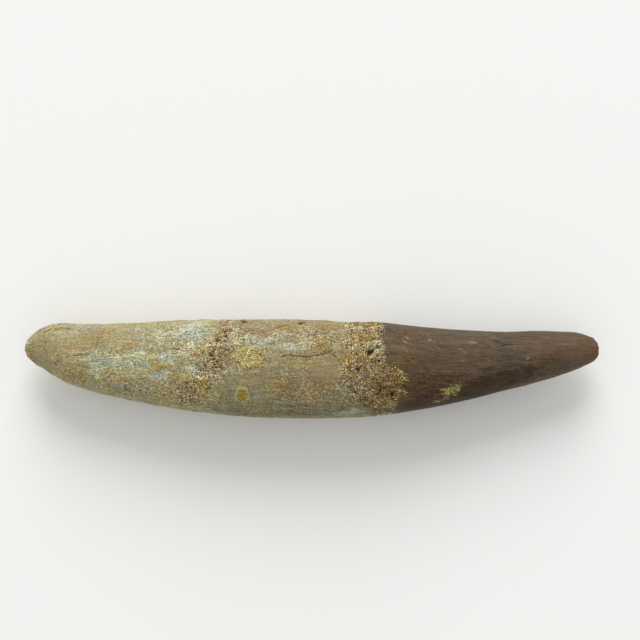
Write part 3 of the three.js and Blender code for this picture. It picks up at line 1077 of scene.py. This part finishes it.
# The break faces, the hollows' painted shade, the cracks, and the pits, partly painted shade.
def damageOver(tree, colour, on, patterns):
    look = toothFinish
    broken = spread(tree, painted(tree, "broken"), 0.4, 0.6)
    colour = blend(tree, broken, colour, tint(look["breakBrown"]))
    # Painted shade in the hollows: the deeper the relief sinks, the darker.
    hollow = spread(tree, painted(tree, "relief"), 0.5, 0.0, 0.0, 0.45)
    colour = blend(tree, hollow, colour, tint(look["pitDark"]))
    crackColour = blend(tree, on["crown"], tint(look["crackBrown"]), tint(look["crackDark"]))
    fromCrack = work(tree, "ABSOLUTE", painted(tree, "crackSide"))
    wandered = weighed(tree, (fromCrack, 1.0), (patterns["mottled"][1], 0.8))
    inCrack = spread(tree, wandered, 1.0, 1.8, 1.0, 0.0)
    colour = blend(tree, times(tree, inCrack, painted(tree, "crack"), 0.85), colour, crackColour)
    # The pits' dark colour, partly painted shade, darker the deeper they are.
    inPit = spread(tree, painted(tree, "pit"), 0.35, 0.75, 0.0, 0.88)
    return blend(tree, inPit, colour, tint(look["pitDark"]))


def finishTooth(tooth):
    look = toothFinish
    material, tree, shader = newFinish("fossilDentineAndEnamel", look["shine"])
    patterns = {name: patternOf(tree, name) for name in ("fine", "striped", "streaked")}
    patterns["coarse"], patterns["mottled"], patterns["broad"], following = patchNumbers(tree)
    on = toothMasks(tree, following)
    colour = toothGround(tree, on, following)
    cooler = weighedOn(tree, on, coolerLight)
    amounts = {}
    for name, both in toothVariety.items():
        amounts[name] = [weighedOn(tree, on, weights) for weights in both]
    amounts["coarse"] = [times(tree, fine, share) for fine, share in zip(amounts["fine"], coarseVariety)]
    for name, (lightBy, warmBy) in amounts.items():
        light, warm = patterns[name][:2]
        colour = varied(tree, colour, light, lightBy, warm, warmBy, cooler)
    colour = yellowSpotOver(tree, colour, patterns)
    colour = damageOver(tree, colour, on, patterns)
    plug(tree, shader.inputs["Base Color"], colour)

    mottled = patterns["mottled"]
    roughness = weighed(
        tree,
        (on["root"], look["rootRoughness"]),
        (on["crown"], look["crownRoughness"]),
        (on["worn"], -0.1),
        (on["sand"], 0.08),
        (work(tree, "SUBTRACT", mottled[0], 0.5), 0.1),
    )
    plug(tree, shader.inputs["Roughness"], roughness)
    by = look["embossed"]
    height = weighed(
        tree,
        (times(tree, patterns["striped"][0], on["crown"]), by["striped"]),
        (times(tree, mottled[1], on["root"]), by["mottled"]),
        (times(tree, patterns["fine"][3], amounts["fine"][0]), by["fine"]),
        (times(tree, patterns["coarse"][3], on["gritty"]), by["coarse"]),
    )
    emboss(tree, shader, height)
    tooth.data.materials.append(material)


# Sand grains that stand out of the sandstone.

sandLook = {
    "shapes": 5,
    "count": 22000,
    "radius": (0.07, 0.15),  # millimetres
    "sunk": (0.1, 0.7),  # how much of its radius a grain's middle is below the skin
    "clumped": 0.8,
    "onFilm": 0.05,  # how thick it lies there, against 1 on the sandstone
    "onOchre": 0.35,
    "darkShare": 0.12,
    "sand": "8c7545",
    "roughness": 0.8,
    "shine": 0.3,
}
grainCorners = 24  # of a grain's eight triangles


# Two four-sided cones base to base, made uneven.
def makeGrainShape(number, kept):
    deselectAll()
    bpy.ops.mesh.primitive_cone_add(
        vertices=4, radius1=mm, radius2=0, depth=mm, end_fill_type="NOTHING", location=(0, 0, 0.5 * mm)
    )
    shape = bpy.context.object
    shape.name = f"grainShape{number}"
    bpy.ops.object.transform_apply(location=True, rotation=False, scale=False)
    addModifier(shape, "MIRROR", use_axis=(False, False, True), merge_threshold=0.01 * mm)
    bpy.ops.object.mode_set(mode="EDIT")
    bpy.ops.mesh.select_all(action="SELECT")
    bpy.ops.transform.vertex_random(offset=0.4 * mm, uniform=0.5, seed=number)
    bpy.ops.transform.resize(value=(1.2, 1.0, 0.9), center_override=(0, 0, 0))
    bpy.ops.object.mode_set(mode="OBJECT")
    for home in list(shape.users_collection):
        home.objects.unlink(shape)
    kept.objects.link(shape)


# The grains' places, as loose points with a size and a turn: thick on the sandstone, thin on the film.
def chooseGrains(tooth, fields):
    chance = np.random.default_rng(21)
    mesh = tooth.data
    corners = np.zeros(len(mesh.loops), np.int32)
    mesh.loops.foreach_get("vertex_index", corners)
    corners = corners.reshape(-1, 4)
    at = rowsOf(mesh.vertices, "co", len(mesh.vertices))
    facing = rowsOf(mesh.vertex_normals, "vector", len(mesh.vertices))
    area = np.zeros(len(corners))
    mesh.polygons.foreach_get("area", area)
    middles = at[corners].mean(1)
    crust, film, pit, ochre, crown = (
        fields[kind][corners].mean(1) for kind in ("crust", "film", "pit", "ochre", "crown")
    )
    thick = crust + noiseOver(middles / mm, 1.2, 51) * sandLook["clumped"]
    likely = ease(thick, 0.15, 1.0) * ease(crust, 0.15, 0.5)
    likely *= 1 - ease(pit, 0.2, 0.5)
    ochre = ochre * (1 - crown)
    likely += sandLook["onFilm"] * ease(film, 0.6, 0.9) + sandLook["onOchre"] * ease(ochre, 0.6, 0.9)
    likely *= area
    chosen = chance.choice(len(corners), sandLook["count"], p=likely / likely.sum())
    shares = chance.dirichlet((1, 1, 1, 1), len(chosen))
    radius = chance.uniform(*sandLook["radius"], len(chosen))
    sunk = chance.uniform(*sandLook["sunk"], len(chosen)) * radius * mm
    places = np.einsum("nk,nkd->nd", shares, at[corners[chosen]])
    places -= facing[corners[chosen, 0]] * sunk[:, None]
    low, high = (np.array(corner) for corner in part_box("tooth"))
    reach = 1.6 * radius[:, None] * mm
    places = np.clip(places, low + reach, high - reach)
    deselectAll()
    bpy.ops.mesh.primitive_plane_add()
    sand = bpy.context.object
    sand.name = "sandGrains"
    sand.data.clear_geometry()
    sand.data.vertices.add(len(chosen))
    sand.data.vertices.foreach_set("co", places.astype(np.float32).ravel())
    dark = chance.random(len(chosen)) < sandLook["darkShare"]
    tone = np.where(dark, -0.1, chance.beta(2.2, 1.3, len(chosen)))
    tone -= 0.1 * ease(ochre[chosen], 0.5, 0.9)
    own = {"radius": radius, "tone": tone, "hue": chance.uniform(0, 1, len(chosen))}
    own |= {kind: fields[kind][corners[chosen, 0]] for kind in ("crust", "film", *stainAndShadeTints)}
    turns = chance.uniform(0, 2 * math.pi, (len(chosen), 3))
    sand.data.attributes.new("turn", "FLOAT_VECTOR", "POINT").data.foreach_set("vector", turns.ravel())
    for name, values in own.items():
        paint(sand.data, name, values)
    return sand


# One of the shapes on each point.
def growGrains(sand, shapes):
    tree = bpy.data.node_groups.new("growGrains", "GeometryNodeTree")
    tree.interface.new_socket("Points", in_out="INPUT", socket_type="NodeSocketGeometry")
    tree.interface.new_socket("Grains", in_out="OUTPUT", socket_type="NodeSocketGeometry")
    given, made = tree.nodes.new("NodeGroupInput"), tree.nodes.new("NodeGroupOutput")
    pool = tree.nodes.new("GeometryNodeCollectionInfo")
    pool.inputs["Collection"].default_value = shapes
    pool.inputs["Separate Children"].default_value = True
    pool.inputs["Reset Children"].default_value = True
    placed = tree.nodes.new("GeometryNodeInstanceOnPoints")
    placed.inputs["Pick Instance"].default_value = True
    tree.links.new(given.outputs[0], placed.inputs["Points"])
    tree.links.new(pool.outputs[0], placed.inputs["Instance"])
    for name, kind, socket in (("turn", "FLOAT_VECTOR", "Rotation"), ("radius", "FLOAT", "Scale")):
        read = tree.nodes.new("GeometryNodeInputNamedAttribute")
        read.data_type = kind
        read.inputs["Name"].default_value = name
        tree.links.new(read.outputs["Attribute"], placed.inputs[socket])
    realized = tree.nodes.new("GeometryNodeRealizeInstances")
    tree.links.new(placed.outputs[0], realized.inputs[0])
    tree.links.new(realized.outputs[0], made.inputs[0])
    addModifier(sand, "NODES", node_group=tree)


# Each grain has its own cell of the bake's map.
def unrollGrains(sand):
    mesh = sand.data
    mesh.materials.clear()
    for layer in list(mesh.uv_layers):
        mesh.uv_layers.remove(layer)
    cell, corner = np.divmod(np.arange(len(mesh.loops)), grainCorners)
    across = math.ceil(math.sqrt(cell[-1] + 1))
    face, turn = np.divmod(corner, 3)
    # Each of the cell's eight triangles has half of one of its four squares.
    square = face // 2
    start = np.stack([square % 2, square // 2], 1) * 0.5
    flipped = (face % 2)[:, None]
    points = np.array([[0.03, 0.03], [0.42, 0.03], [0.03, 0.42]])[turn]
    inside = np.where(flipped == 1, 0.48 - points, points)
    places = (np.stack([cell % across, cell // across], 1) + start + inside) / across
    layer = mesh.uv_layers.new(name="OFBake")
    layer.data.foreach_set("uv", places.astype(np.float32).ravel())


def finishSand(sand):
    look = sandLook
    material, tree, shader = newFinish("sandGrain", look["shine"])
    _, mottled, broad, following = patchNumbers(tree)
    tone = painted(tree, "tone")
    colour = blend(tree, painted(tree, "crust"), tint(toothFinish["root"]), tint(look["sand"]))
    colour = blend(tree, painted(tree, "film"), colour, tint(toothFinish["film"]))
    # The stains, and the shade painted along the lower side, as on the tooth beneath.
    colour = stainedAndShaded(tree, colour, 0.0, following)
    colour = varied(tree, colour, tone, 3.2, painted(tree, "hue"), 0.75, 0.42)
    colour = varied(tree, colour, mottled[0], 0.6, mottled[1], 0.3, 0.55)
    colour = varied(tree, colour, broad[0], 0.4, broad[1], 0.3, 0.55)
    plug(tree, shader.inputs["Base Color"], colour)
    plug(tree, shader.inputs["Roughness"], weighed(tree, (tone, 0.15), (1.0, look["roughness"] - 0.1)))
    emboss(tree, shader, times(tree, clouds(tree, objectPlaces(tree), 0.08, 2.0), 0.02))
    sand.data.materials.append(material)


def makeSand(tooth, fields):
    shapes = bpy.data.collections.new("grainShapes")
    for number in range(sandLook["shapes"]):
        makeGrainShape(number, shapes)
    sand = chooseGrains(tooth, fields)
    growGrains(sand, shapes)
    for shape in list(shapes.objects):
        bpy.data.objects.remove(shape)
    bpy.data.collections.remove(shapes)
    unrollGrains(sand)
    finishSand(sand)
    return sand


setCamera()
setLight()
setFloor()
print("studio set")
fossilTooth = makeToothForm()
print("tooth formed")
fields = weatherTooth(fossilTooth)
print("tooth weathered")
finishTooth(fossilTooth)
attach(fossilTooth, "root")
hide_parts("tooth")
print("tooth finished")
sandGrains = makeSand(fossilTooth, fields)
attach(sandGrains, "root")
print("sand scattered")
